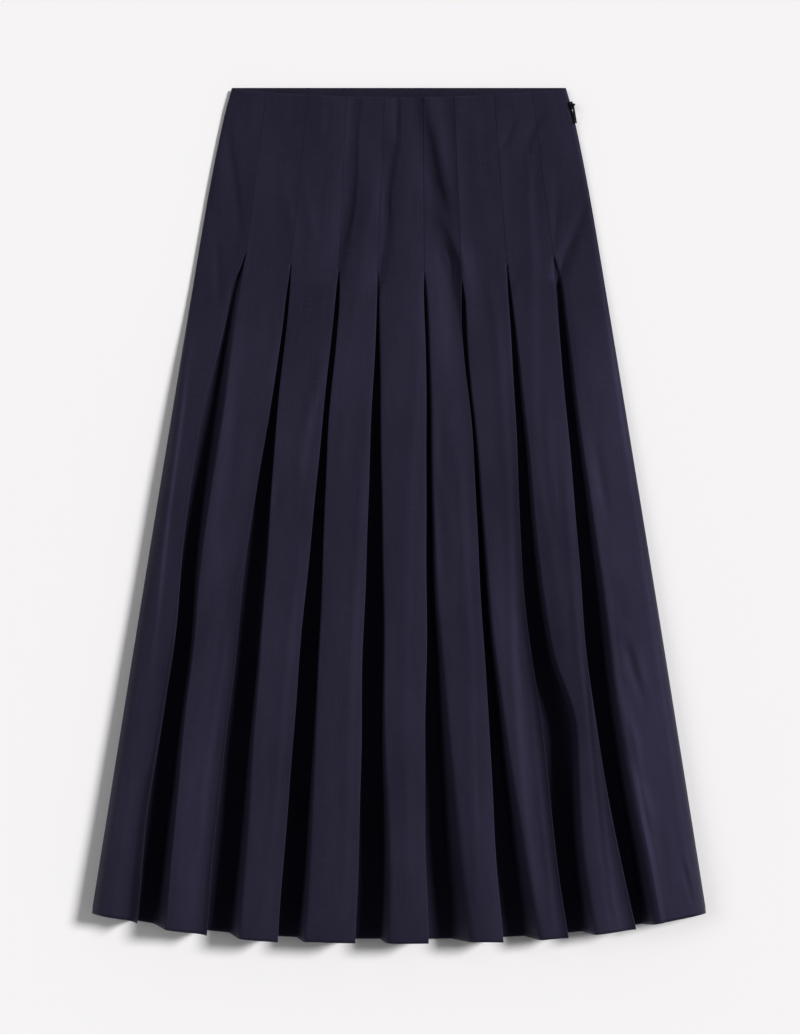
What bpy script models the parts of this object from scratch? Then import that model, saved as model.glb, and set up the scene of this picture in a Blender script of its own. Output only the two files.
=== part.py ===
"""A midi skirt laid flat on its back: eight inverted pleats, stitched down to the hip and open below it.

Lengths are in millimetres until a mesh is made. X runs to the right, Y towards the waist and Z up off
the surface that the skirt lies on. "Down" is the distance below the back's waist edge. "Share" places a
section of the cloth: -1 is the waist, 0 is where the pleats open, 1 is the hem.
"""
import math
from collections import namedtuple

import bmesh
import bpy
from mathutils import Matrix, Vector

MM = 0.001
LENGTH = 877.0
WALL = 1.2
SEAM_GAP = 0.3

# Half of the laid width at a distance below the waist, where the side seams run
SideSeam = namedtuple("SideSeam", "down half_width")
SIDE_SEAM = (
    SideSeam(0, 172),
    SideSeam(25, 179),
    SideSeam(100, 194.5),
    SideSeam(220, 215),
    SideSeam(500, 261),
    SideSeam(850, 317),
)
HIP_SIDE_DOWN = 165.0

# The front's waist dips below the back's, and the hem rises towards the sides
FRONT_DIP_SIDE = 2.0
FRONT_DIP_MIDDLE = 10.5
HEM_RISE = 30.0
HEM_HALF_WIDTH = 317.0
HEM_CURVE = 2.2
BACK_HEM_SHORTER = 1.5

# Each pleat: where its stitching starts at the waist, where it opens at the hip, and then its left and
# right fold at a tenth, a quarter, under half and two thirds of the way down, and at the hem
Pleat = namedtuple("Pleat", "waist_x open_x open_down left right")
FOLD_SHARES = (0.0, 0.1, 0.25, 0.45, 0.7, 1.0)
PLEATS = (
    Pleat(-137, -157, 168, left=(-179, -203, -222, -243, -257), right=(-167, -182, -202, -223, -236)),
    Pleat(-94, -111, 181, left=(-121, -137, -157, -177, -197), right=(-115, -126, -139, -152, -163)),
    Pleat(-54, -62, 186, left=(-69, -79, -91, -107, -127), right=(-64, -71, -78, -87, -99)),
    Pleat(-15, -22, 190, left=(-24, -28, -34, -39, -47), right=(-22, -22, -20, -17, -16)),
    Pleat(25, 26, 190, left=(27, 28, 28, 28, 29), right=(29, 32, 37, 46, 61)),
    Pleat(60, 65, 179, left=(67, 74, 81, 91, 105), right=(70, 77, 89, 108, 137)),
    Pleat(98, 111, 181, left=(115, 120, 126, 142, 165), right=(119, 131, 147, 176, 191)),
    Pleat(137, 159, 173, left=(164, 174, 184, 205, 237), right=(169, 184, 200, 226, 258)),
)

# Sections of the front: how high its panels stand, how high the pleats' floors lie, how round the folds
# are, how far a pleat's wall runs back under its panel, how much a panel bulges, and how far in from the
# side seam the cloth still rises
Section = namedtuple("Section", "share panel floor fold tuck_under bulge side_rise")
SECTIONS = (
    Section(-1.00, 6.2, 5.9, 1.2, 0.0, 0.0, 24),
    Section(-0.90, 6.2, 5.9, 1.2, 0.0, 0.0, 25),
    Section(-0.60, 6.2, 5.9, 1.2, 0.0, 0.2, 27),
    Section(-0.25, 6.4, 6.1, 1.2, 0.0, 0.3, 29),
    Section(0.00, 7.0, 6.7, 1.2, 0.0, 0.4, 31),
    Section(0.03, 7.8, 4.4, 1.5, 0.6, 0.5, 32),
    Section(0.08, 9.6, 3.6, 1.8, 1.4, 0.7, 33),
    Section(0.15, 12.6, 3.1, 2.2, 2.4, 1.0, 35),
    Section(0.25, 16.5, 3.0, 2.8, 3.6, 1.4, 37),
    Section(0.36, 20.5, 3.0, 3.2, 4.6, 1.8, 39),
    Section(0.48, 24.0, 3.0, 3.6, 5.4, 2.2, 42),
    Section(0.61, 27.5, 3.0, 3.9, 6.2, 2.5, 45),
    Section(0.75, 31.0, 3.0, 4.2, 7.0, 2.8, 48),
    Section(0.88, 34.0, 3.0, 4.4, 7.6, 3.0, 50),
    Section(1.00, 36.5, 3.0, 4.6, 8.0, 3.0, 52),
)
STITCHED_HALF = (2.4, 1.6, 0.8, 0.4)
STITCHED_SINK = (0.0, 0.0, 0.1, 0.3)
FOLD_CORNER = 0.3
PANEL_STEPS = (0.25, 0.5, 0.75)
SIDE_STEPS = (0.0, 0.05, 0.2, 0.45, 0.72)

# The largest soft troughs pressed into the cloth above and below the hip
Trough = namedtuple("Trough", "x down end_x end_down half_width depth")
TROUGHS = (
    Trough(27, 20, 62, 215, half_width=14, depth=1.6),
    Trough(-37, 30, -60, 190, half_width=12, depth=1.0),
    Trough(0, 25, -8, 200, half_width=10, depth=0.9),
    Trough(-180, 60, -162, 150, half_width=12, depth=1.0),
    Trough(96, 32, 118, 66, half_width=10, depth=0.8),
)

BACK_COLUMNS = 17
BACK_ROWS = 18
FACING_DEPTH = 45.0
FACING_WALL = 1.0
FACING_INSET = 3.5
FACING_COLUMNS = 13

# The concealed zip's slider lies on the right side seam, and its pull swings on the slider's bridge
SLIDER_DOWN = 19.0
SLIDER_LENGTH = 8.0
SLIDER_WIDTH = 4.6
SLIDER_HEIGHT = 2.0
SEAM_TILT = math.radians(40.0)
SLIDER_INBOARD = 0.9
SLIDER_LEVEL = 3.7
BRIDGE_HEIGHT = 1.75
BRIDGE_RADIUS = 0.5
EAR_WIDTH = 0.7
EAR_LENGTH = 1.8
EAR_INNER = 1.5
EAR_ABOVE_BAR = 0.8
EYE_HOLE = 0.85
EYE_RADIUS = 1.4
EYE_HALF_WIDTH = 1.15
PULL_LENGTH = 19.0
PULL_WIDTH = 4.0
PULL_THICKNESS = 0.9
PULL_DROOP = math.radians(9.0)

NAVY = (0.017, 0.015, 0.032)
BACK_NAVY = (0.015, 0.013, 0.028)
FACING_NAVY = (0.012, 0.011, 0.022)
BLACK_METAL = (0.012, 0.012, 0.014)


def curve_through(places, values, at):
    """Return a smooth curve's value at a place, with straight ends and no overshoot between close values."""
    if at <= places[0]:
        return values[0]
    if at >= places[-1]:
        return values[-1]
    last = len(places) - 1
    slopes = []
    for index in range(last + 1):
        before = max(index - 1, 0)
        after = min(index + 1, last)
        slopes.append((values[after] - values[before]) / (places[after] - places[before]))
    index = max(i for i in range(last) if places[i] <= at)
    span = places[index + 1] - places[index]
    t = (at - places[index]) / span
    start_part = (1 + 2 * t) * (1 - t) ** 2 * values[index] + t * (1 - t) ** 2 * span * slopes[index]
    end_part = t * t * (3 - 2 * t) * values[index + 1] - t * t * (1 - t) * span * slopes[index + 1]
    return start_part + end_part


def side_x(down):
    """Return the laid half width at a distance below the waist."""
    downs = [row.down for row in SIDE_SEAM]
    return curve_through(downs, [row.half_width for row in SIDE_SEAM], down)


def waist_down(x):
    """Return how far the front's waist edge lies below the back's."""
    return FRONT_DIP_SIDE + (FRONT_DIP_MIDDLE - FRONT_DIP_SIDE) * (1 - min(1, (x / side_x(0)) ** 2))


def hem_down(x):
    """Return how far down the hem lies, which is least at the sides."""
    return LENGTH - HEM_RISE * min(1, abs(x) / HEM_HALF_WIDTH) ** HEM_CURVE


def section_down(share, at_waist, at_hip, at_hem):
    """Return how far down a section crosses a line of the cloth that has these three places."""
    if share < 0:
        return at_hip + share * (at_hip - at_waist)
    return at_hip + share * (at_hem - at_hip)


def trough_depth(x, down):
    """Return how far the soft troughs sink the cloth at a place."""
    depth = 0.0
    for row in TROUGHS:
        along = Vector((row.end_x - row.x, row.end_down - row.down))
        place = Vector((x - row.x, down - row.down))
        share = place.dot(along) / along.length_squared
        if 0 < share < 1:
            aside = (place - along * share).length / row.half_width
            depth += row.depth * math.sin(math.pi * share) * math.exp(-aside * aside)
    return depth


def pleat_fold(pleat, side, share):
    """Return where a pleat's left or right fold runs at a section, or its seam above the hip."""
    if share <= 0:
        return pleat.open_x + share * (pleat.open_x - pleat.waist_x)
    folds = pleat.left if side < 0 else pleat.right
    return curve_through(FOLD_SHARES, (pleat.open_x, *folds), share)


def pleat_profile(pleat, section):
    """Return a pleat's outer points, as x and height, from its left panel's top to its right panel's."""
    halves = []
    for side in (-1, 1):
        fold_x = pleat_fold(pleat, side, section.share)
        if section.share <= 0:
            half = [
                (fold_x + side * out, section.panel - sink)
                for out, sink in zip(STITCHED_HALF, STITCHED_SINK)
            ]
        else:
            half = [
                (fold_x + side * section.fold, section.panel),
                (fold_x + side * FOLD_CORNER * section.fold, section.panel - FOLD_CORNER * section.fold),
                (fold_x, section.panel - section.fold),
                (fold_x + side * section.tuck_under, section.floor),
            ]
        halves.append(half)
    left, right = halves
    middle = ((left[-1][0] + right[-1][0]) / 2, left[-1][1])
    return left + [middle] + right[::-1]


def side_profile(side, inner_x, seam_x, section):
    """Return the points from a side seam to the nearest pleat, rising like a quarter of an ellipse."""
    rim = WALL + SEAM_GAP
    points = [(seam_x, rim)]
    for step in SIDE_STEPS:
        x = seam_x + step * (inner_x - seam_x)
        inboard = min(1.0, abs(x - seam_x) / section.side_rise)
        rise = math.sqrt(1 - (1 - inboard) ** 2)
        points.append((x, rim + WALL + (section.panel - rim - WALL) * rise))
    return points if side < 0 else points[::-1]


def front_section(section):
    """Return one section of the front's outer face, as x, down and height, from left to right."""
    hips = [pleat.open_down for pleat in PLEATS]
    seam_down = section_down(section.share, FRONT_DIP_SIDE, HIP_SIDE_DOWN, hem_down(HEM_HALF_WIDTH))
    seam_x = side_x(seam_down)
    profiles = [pleat_profile(pleat, section) for pleat in PLEATS]
    points = [(x, HIP_SIDE_DOWN, z) for x, z in side_profile(-1, profiles[0][0][0], -seam_x, section)]
    for index, profile in enumerate(profiles):
        points += [(x, hips[index], z) for x, z in profile]
        if index == len(profiles) - 1:
            break
        start_x, end_x = profile[-1][0], profiles[index + 1][0][0]
        for step in PANEL_STEPS:
            bulge = section.bulge * 4 * step * (1 - step)
            hip = hips[index] + step * (hips[index + 1] - hips[index])
            points.append((start_x + step * (end_x - start_x), hip, section.panel + bulge))
    points += [(x, HIP_SIDE_DOWN, z) for x, z in side_profile(1, profiles[-1][-1][0], seam_x, section)]
    rim_top = SEAM_GAP + 2 * WALL
    placed = []
    for x, hip, z in points:
        spread = x / seam_x
        down = section_down(
            section.share, waist_down(spread * side_x(0)), hip, hem_down(spread * HEM_HALF_WIDTH)
        )
        lift = max(0.0, min(1.0, (z - rim_top) / (section.panel - rim_top)))
        placed.append((x, down, z - lift * trough_depth(x, down)))
    return placed


def to_world(x, down, z):
    """Turn a place on the cloth into metres, with the origin under the middle of the skirt."""
    return Vector((x, LENGTH / 2 - down, z)) * MM


def new_material(name, colour, roughness, metallic=0.0):
    """Return a Principled BSDF material."""
    material = bpy.data.materials.new(name)
    material.use_nodes = True
    shader = material.node_tree.nodes["Principled BSDF"]
    shader.inputs["Base Color"].default_value = (*colour, 1.0)
    shader.inputs["Roughness"].default_value = roughness
    shader.inputs["Metallic"].default_value = metallic
    return material


def add_object(name, mesh, material, parent=None):
    """Put a mesh into the skirt's collection as an object of its own."""
    piece = bpy.data.objects.new(name, mesh)
    mesh.materials.append(material)
    skirt.objects.link(piece)
    piece.parent = parent
    return piece


def cloth_grid(name, sections):
    """Return a flat grid whose rows have been laid on the given sections, its outer face up."""
    rows, columns = len(sections), len(sections[0])
    sheet = bmesh.new()
    bmesh.ops.create_grid(sheet, x_segments=columns - 1, y_segments=rows - 1, size=1.0)
    for vertex in sheet.verts:
        column = round((vertex.co.x + 1) / 2 * (columns - 1))
        row = round((1 - vertex.co.y) / 2 * (rows - 1))
        vertex.co = to_world(*sections[row][column])
    mesh = bpy.data.meshes.new(name)
    sheet.to_mesh(mesh)
    sheet.free()
    return mesh


def thicken(piece, wall, even=True):
    """Give a sheet its wall, from its outer face inwards."""
    solidify = piece.modifiers.new("wall", "SOLIDIFY")
    solidify.thickness = wall * MM
    solidify.offset = -1.0
    solidify.use_even_offset = even


def make_front():
    """Make the pleated front from its sections."""
    front = add_object(
        "front", cloth_grid("front", [front_section(section) for section in SECTIONS]),
        new_material("navy cloth", NAVY, 0.55),
    )
    thicken(front, WALL)


def flat_sections(rows, columns, top_down, bottom_down, edge_inset, height):
    """Return level sections between two lines of the cloth, from side to side."""
    sections = []
    for row in range(rows):
        share = row / (rows - 1)
        seam_down = top_down + share * (bottom_down(HEM_HALF_WIDTH) - top_down)
        seam_x = side_x(seam_down) - edge_inset
        section = []
        for column in range(columns):
            spread = 2 * column / (columns - 1) - 1
            down = top_down + share * (bottom_down(spread * HEM_HALF_WIDTH) - top_down)
            section.append((spread * seam_x, down, height))
        sections.append(section)
    return sections


def make_back():
    """Make the back, which lies flat under the front as far as the side seams."""
    sections = flat_sections(
        BACK_ROWS, BACK_COLUMNS, 0.0, lambda x: hem_down(x) - BACK_HEM_SHORTER, 0.0, WALL
    )
    back = add_object("back", cloth_grid("back", sections), new_material("navy cloth, back", BACK_NAVY, 0.6))
    thicken(back, WALL)


def make_facing():
    """Make the facing that lines the back's waist and shows above the front's edge."""
    sections = flat_sections(
        4, FACING_COLUMNS, SEAM_GAP, lambda x: FACING_DEPTH, FACING_INSET, WALL + SEAM_GAP + FACING_WALL
    )
    facing = add_object("back_facing", cloth_grid("back_facing", sections), new_material("facing", FACING_NAVY, 0.6))
    thicken(facing, FACING_WALL)


def add_box(bm, size, centre):
    """Add a box of a given size to a mesh in the making."""
    place = Matrix.Translation(Vector(centre) * MM) @ Matrix.Diagonal((*(Vector(size) * MM), 1.0))
    bmesh.ops.create_cube(bm, size=1.0, matrix=place)


def add_rod(bm, radius, length, centre, sides=16):
    """Add a rod along Y to a mesh in the making."""
    place = Matrix.Translation(Vector(centre) * MM) @ Matrix.Rotation(math.pi / 2, 4, "X")
    bmesh.ops.create_cone(
        bm, cap_ends=True, segments=sides, radius1=radius * MM, radius2=radius * MM, depth=length * MM, matrix=place
    )


def solid(name, build, material=None, collection=None):
    """Run a builder on a new mesh and return the object that it makes."""
    bm = bmesh.new()
    build(bm)
    mesh = bpy.data.meshes.new(name)
    bm.to_mesh(mesh)
    bm.free()
    piece = bpy.data.objects.new(name, mesh)
    (collection or skirt).objects.link(piece)
    if material:
        mesh.materials.append(material)
    return piece


def cut_or_join(piece, tool, operation):
    """Add an exact Boolean modifier."""
    boolean = piece.modifiers.new(operation.lower(), "BOOLEAN")
    boolean.operation = operation
    boolean.solver = "EXACT"
    boolean.object = tool
    tool.hide_render = True
    tool.display_type = "WIRE"


def bevel(piece, width, segments=2):
    """Round a piece's edges."""
    rounding = piece.modifiers.new("rounding", "BEVEL")
    rounding.width = width * MM
    rounding.segments = segments


def zip_frame():
    """Return the seam's own axes at the slider: X down the seam, Y across it and Z out of the cloth."""
    ahead = side_x(SLIDER_DOWN + SLIDER_LENGTH) - side_x(SLIDER_DOWN)
    along = Vector((ahead, -SLIDER_LENGTH, 0)).normalized()
    outward = Vector((-along.y, along.x, 0))
    lift = outward * math.sin(SEAM_TILT) + Vector((0, 0, math.cos(SEAM_TILT)))
    across = lift.cross(along)
    frame = Matrix((along, across, lift)).transposed().to_4x4()
    seat = to_world(side_x(SLIDER_DOWN) - SLIDER_INBOARD, SLIDER_DOWN, SLIDER_LEVEL)
    frame.translation = seat + lift * SEAM_GAP * MM
    return frame


def make_slider(holder, metal):
    """Make the zip's slider: a rounded body with two ears and the bridge bar between them."""
    body = solid("zip_slider", lambda bm: add_box(
        bm, (SLIDER_LENGTH, SLIDER_WIDTH, SLIDER_HEIGHT), (0, 0, SLIDER_HEIGHT / 2)), metal)
    bevel(body, 0.5)
    bar_level = SLIDER_HEIGHT + BRIDGE_HEIGHT
    ear_height = BRIDGE_HEIGHT + EAR_ABOVE_BAR + SLIDER_HEIGHT / 4
    for side in (-1, 1):
        ear = solid("ear cutter", lambda bm: add_box(
            bm, (EAR_LENGTH, EAR_WIDTH, ear_height),
            (0, side * (EAR_INNER + EAR_WIDTH / 2), bar_level + EAR_ABOVE_BAR - ear_height / 2)), collection=cutters)
        ear.parent = holder
        cut_or_join(body, ear, "UNION")
    bar = solid("bar cutter", lambda bm: add_rod(
        bm, BRIDGE_RADIUS, 2 * EAR_INNER + EAR_WIDTH, (0, 0, bar_level)), collection=cutters)
    bar.parent = holder
    cut_or_join(body, bar, "UNION")
    body.parent = holder


def pull_plate(bm):
    """Add the pull's tapered plate, from its eye to its tip."""
    add_box(bm, (PULL_LENGTH, 1.0, PULL_THICKNESS), (PULL_LENGTH / 2, 0, 0))
    for vertex in bm.verts:
        at_tip = vertex.co.x > PULL_LENGTH * MM / 2
        width = PULL_WIDTH if at_tip else 2 * EYE_HALF_WIDTH
        vertex.co.y *= width


def make_pull(hinge, metal):
    """Make the pull: a plate that widens towards its tip, with an eye round the slider's bridge bar."""
    pull = solid("zip_pull", pull_plate, metal)
    bevel(pull, 0.25)
    eye = solid("eye cutter", lambda bm: add_rod(bm, EYE_RADIUS, 2 * EYE_HALF_WIDTH, (0, 0, 0)), collection=cutters)
    hole = solid("hole cutter", lambda bm: add_rod(bm, EYE_HOLE, 4 * EYE_HALF_WIDTH, (0, 0, 0)), collection=cutters)
    cut_or_join(pull, eye, "UNION")
    cut_or_join(pull, hole, "DIFFERENCE")
    for piece in (pull, eye, hole):
        piece.parent = hinge


def make_zip():
    """Make the slider and its pull, each under an empty that holds its place."""
    metal = new_material("black metal", BLACK_METAL, 0.35, 0.6)
    seat = bpy.data.objects.new("zip seat", None)
    seat.matrix_world = zip_frame()
    skirt.objects.link(seat)
    hinge = bpy.data.objects.new("pull hinge", None)
    skirt.objects.link(hinge)
    hinge.parent = seat
    bar_place = Matrix.Translation(Vector((0, 0, SLIDER_HEIGHT + BRIDGE_HEIGHT)) * MM)
    hinge.matrix_local = bar_place @ Matrix.Rotation(PULL_DROOP, 4, "Y")
    make_slider(seat, metal)
    make_pull(hinge, metal)
    bpy.context.view_layer.update()
    place = hinge.matrix_world
    print("pull hinge at", [round(value, 5) for value in place.translation])
    print("pull hinge axis", [round(value, 5) for value in -place.col[1].to_3d()])


for old in list(bpy.data.objects):
    bpy.data.objects.remove(old, do_unlink=True)
skirt = bpy.data.collections.new("midi skirt")
cutters = bpy.data.collections.new("cutters")
bpy.context.scene.collection.children.link(skirt)
bpy.context.scene.collection.children.link(cutters)
make_front()
make_back()
make_facing()
make_zip()
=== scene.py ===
# %% [markdown]
# A midi skirt lies flat on its back on a pale surface, seen from straight above. It is navy taffeta: crisp,
# thin and slightly shiny. Eight inverted pleats are stitched down from the waist to the hip, and below that
# they open into deep, dark folds that widen to the hem. We first open the imported model, which holds the
# solid front, back, facing and zip.

# %% Open the frame
import math

import bpy
import numpy as np
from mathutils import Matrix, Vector


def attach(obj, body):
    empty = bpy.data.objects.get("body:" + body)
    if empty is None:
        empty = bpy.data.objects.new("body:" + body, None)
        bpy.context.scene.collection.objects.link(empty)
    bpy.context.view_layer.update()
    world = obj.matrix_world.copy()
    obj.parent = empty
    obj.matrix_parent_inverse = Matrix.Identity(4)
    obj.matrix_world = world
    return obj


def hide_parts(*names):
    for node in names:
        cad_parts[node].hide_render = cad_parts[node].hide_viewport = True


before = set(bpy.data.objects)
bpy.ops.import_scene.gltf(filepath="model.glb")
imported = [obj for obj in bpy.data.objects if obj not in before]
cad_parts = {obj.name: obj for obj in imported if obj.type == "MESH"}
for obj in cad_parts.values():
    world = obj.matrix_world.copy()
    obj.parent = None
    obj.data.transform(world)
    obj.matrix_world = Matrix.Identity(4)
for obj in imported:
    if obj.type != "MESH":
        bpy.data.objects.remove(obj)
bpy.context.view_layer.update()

MM = 0.001

# %% [markdown]
# Every size below is in millimetres, as a pattern cutter would write it. "Down" is measured from the
# back's waist edge. "Share" runs down the cloth: -1 at the waist, 0 where the pleats open, 1 at the hem.

# %% Driving sizes
LENGTH = 877.0
WALL = 1.2
SEAM_GAP = 0.3
CLOTH = 0.7
HIP_SIDE_DOWN = 165.0
FRONT_DIP_SIDE = 2.0
FRONT_DIP_MIDDLE = 10.5
HEM_RISE = 30.0
HEM_HALF_WIDTH = 317.0
HEM_CURVE = 2.2
SIDE_DOWN = (0, 25, 100, 220, 500, 850)
SIDE_HALF_WIDTH = (172, 179, 194.5, 215, 261, 317)


# %% [markdown]
# Folds are smooth, so the few numbers in each table are joined by a curve. A cubic Hermite curve passes
# through every number and needs no library beyond NumPy, which also works out a whole row at once.

# %% A smooth curve through a short table
def smooth(places, values, at):
    """Return the values of a smooth curve through a table, which never swings past its numbers."""
    places = np.asarray(places, float)
    values = np.asarray(values, float)
    steps = np.diff(values) / np.diff(places)
    before, after = steps[:-1], steps[1:]
    rising_alike = before * after > 0
    middle = np.where(rising_alike, 2 * before * after / np.where(rising_alike, before + after, 1), 0)
    slopes = np.concatenate((steps[:1], middle, steps[-1:]))
    at = np.clip(at, places[0], places[-1])
    index = np.clip(np.searchsorted(places, at, side="right") - 1, 0, len(places) - 2)
    span = places[index + 1] - places[index]
    t = (at - places[index]) / span
    start = (1 + 2 * t) * (1 - t) ** 2 * values[index] + t * (1 - t) ** 2 * span * slopes[index]
    end = t * t * (3 - 2 * t) * values[index + 1] - t * t * (1 - t) * span * slopes[index + 1]
    return start + end


def ease(value):
    """Return a value from 0 to 1 that leaves 0 and reaches 1 without a corner."""
    value = np.clip(value, 0, 1)
    return value * value * (3 - 2 * value)


def side_x(down):
    """Return the laid half width of the skirt."""
    return smooth(SIDE_DOWN, SIDE_HALF_WIDTH, down)


def waist_down(x):
    """Return how far the front's waist edge dips below the back's."""
    return FRONT_DIP_SIDE + (FRONT_DIP_MIDDLE - FRONT_DIP_SIDE) * (1 - np.minimum(1, (x / side_x(0)) ** 2))


def hem_down(x):
    """Return how far down the hem lies."""
    return LENGTH - HEM_RISE * np.minimum(1, np.abs(x) / HEM_HALF_WIDTH) ** HEM_CURVE


print("half width at the hip", round(float(side_x(180)), 1), "mm")

# %% [markdown]
# The camera hangs above the middle of the picture and looks straight down. A pixel of the photograph
# covers 1.032 mm of the surface, so the lens follows from the camera's height. The lights are two broad
# suns, which light a flat floor evenly: the key from the upper right, whose shadow falls to the left and
# below the hem, and a weaker one from the left, which picks out the left rim. The sky is dim overhead,
# where deep pleats look up, and brighter at the horizon, so the pleats go dark while the folds keep a
# soft light.

# %% Camera, lights and floor
PIXEL = 1.032
PICTURE_HEIGHT = 1034
PICTURE_CENTRE = (1.0, -4.2)
CAMERA_HEIGHT = 2600.0
SENSOR = 36.0
KEY_STRENGTH = 3.9
FILL_STRENGTH = 0.75
SKY_OVERHEAD = 0.04
SKY_HORIZON = 0.5
FLOOR_COLOUR = (0.834, 0.819, 0.827)
FLOOR_ROUGHNESS = 0.9
FLOOR_SHINE = 0.1
FLOOR_REACH = 40.0
LAMP_DISTANCE = 3.0


def add_object(name, data):
    """Return a new object in the scene, made from a mesh, a lamp or a camera."""
    made = bpy.data.objects.new(name, data)
    bpy.context.scene.collection.objects.link(made)
    return made


def add_sun(name, strength, azimuth, elevation, spread):
    """Add a broad sun that shines from a direction, in degrees round from +X and up from the floor."""
    light = bpy.data.lights.new(name, "SUN")
    light.energy = strength
    light.angle = math.radians(spread)
    lamp = add_object(name, light)
    around, up = math.radians(azimuth), math.radians(elevation)
    place = Vector((math.cos(around) * math.cos(up), math.sin(around) * math.cos(up), math.sin(up)))
    lamp.location = place * LAMP_DISTANCE
    lamp.rotation_mode = "QUATERNION"
    lamp.rotation_quaternion = place.to_track_quat("Z", "Y")


camera_data = bpy.data.cameras.new("camera")
camera_data.sensor_width = SENSOR
camera_data.lens = SENSOR * CAMERA_HEIGHT / (PICTURE_HEIGHT * PIXEL)
camera = add_object("camera", camera_data)
camera.location = Vector((*PICTURE_CENTRE, CAMERA_HEIGHT)) * MM
bpy.context.scene.camera = camera

add_sun("key", KEY_STRENGTH, azimuth=20, elevation=38, spread=14)
add_sun("fill", FILL_STRENGTH, azimuth=168, elevation=38, spread=30)

world = bpy.data.worlds.new("studio")
world.use_nodes = True
sky = world.node_tree
direction = sky.nodes.new("ShaderNodeTexCoord")
split = sky.nodes.new("ShaderNodeSeparateXYZ")
overhead = sky.nodes.new("ShaderNodeMapRange")
overhead.inputs["To Min"].default_value = SKY_HORIZON
overhead.inputs["To Max"].default_value = SKY_OVERHEAD
sky.links.new(direction.outputs["Generated"], split.inputs["Vector"])
sky.links.new(split.outputs["Z"], overhead.inputs["Value"])
sky.links.new(overhead.outputs["Result"], sky.nodes["Background"].inputs["Strength"])
sky.nodes["Background"].inputs["Color"].default_value = (1.0, 1.0, 1.0, 1.0)
bpy.context.scene.world = world
bpy.context.scene.view_settings.view_transform = "Standard"

floor_mesh = bpy.data.meshes.new("floor")
floor_corners = [(FLOOR_REACH * x, FLOOR_REACH * y, 0) for x, y in ((-1, -1), (1, -1), (1, 1), (-1, 1))]
floor_mesh.from_pydata(floor_corners, [], [(0, 1, 2, 3)])
floor = add_object("floor", floor_mesh)
floor_material = bpy.data.materials.new("pale floor")
floor_material.use_nodes = True
floor_shader = floor_material.node_tree.nodes["Principled BSDF"]
floor_shader.inputs["Base Color"].default_value = (*FLOOR_COLOUR, 1.0)
floor_shader.inputs["Roughness"].default_value = FLOOR_ROUGHNESS
floor_shader.inputs["Specular IOR Level"].default_value = FLOOR_SHINE
floor_mesh.materials.append(floor_material)
print("camera", round(camera_data.lens, 1), "mm lens at", CAMERA_HEIGHT, "mm")

# %% [markdown]
# The front is one sheet that runs from side seam to side seam, down into every pleat and up again. We
# lay it as a grid: a row for each section down the skirt, and the same columns in every row. This table
# says how high the panels and the pleats' floors lie in each section.

# %% The front's sections
SECTION_SHARE = (-1.0, -0.9, -0.6, -0.25, 0.0, 0.03, 0.08, 0.15, 0.25, 0.36, 0.48, 0.61, 0.75, 0.88, 1.0)
PANEL_HEIGHT = (6.2, 6.2, 6.2, 6.5, 7.4, 8.1, 9.7, 12.6, 16.5, 20.5, 24.0, 27.5, 31.0, 34.0, 36.5)
PLEAT_FLOOR = (5.9, 5.9, 5.9, 6.1, 4.4, 2.8, 2.5, 2.4, 2.3, 2.3, 2.3, 2.3, 2.3, 2.3, 2.3)
TUCK_UNDER = (0.0, 0.0, 0.0, 0.0, 0.6, 1.4, 2.0, 2.6, 3.6, 4.6, 5.4, 6.2, 7.0, 7.6, 8.0)
PANEL_BULGE = (0.0, 0.0, 0.1, 0.2, 0.2, 0.3, 0.4, 0.5, 0.6, 0.7, 0.8, 0.9, 1.0, 1.0, 1.0)
EDGE_RISE = (6, 6, 6, 7, 8, 8.5, 9, 10, 12, 14, 16, 18, 20, 22, 24)
SIDE_SLOPE = (25, 25, 28, 32, 36, 38, 42, 48, 54, 60, 66, 72, 78, 82, 86)

SHARE_ROWS = ((-1.0, -0.985, 3), (-0.985, -0.02, 50), (-0.02, 0.06, 20), (0.06, 0.975, 84), (0.975, 1.0, 5))
shares = np.concatenate([np.linspace(start, end, rows, endpoint=False) for start, end, rows in SHARE_ROWS])
shares = np.append(shares, 1.0)
share_column = shares[:, None]
print("sections", len(shares))


def by_section(values):
    """Return one of the section table's columns at every section."""
    return smooth(SECTION_SHARE, values, shares)


panel_height = by_section(PANEL_HEIGHT)
pleat_floor = by_section(PLEAT_FLOOR)
tuck_under = by_section(TUCK_UNDER)
panel_bulge = by_section(PANEL_BULGE)
edge_rise = by_section(EDGE_RISE)
side_slope = by_section(SIDE_SLOPE)

# %% [markdown]
# Each pleat has two folds. The one on its left is a panel's right edge, pressed crisp, and the cloth
# below it tucks back under the panel. The one on its right rolls over, and its wall may lean out into
# the pleat. Every fold has its places across, in millimetres from the middle of the skirt, and how far
# it rolls over. Every pleat also says how far its right wall leans, and how deep a hollow runs beside
# its left fold, where the panel's pressed edge stands up a little.

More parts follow.
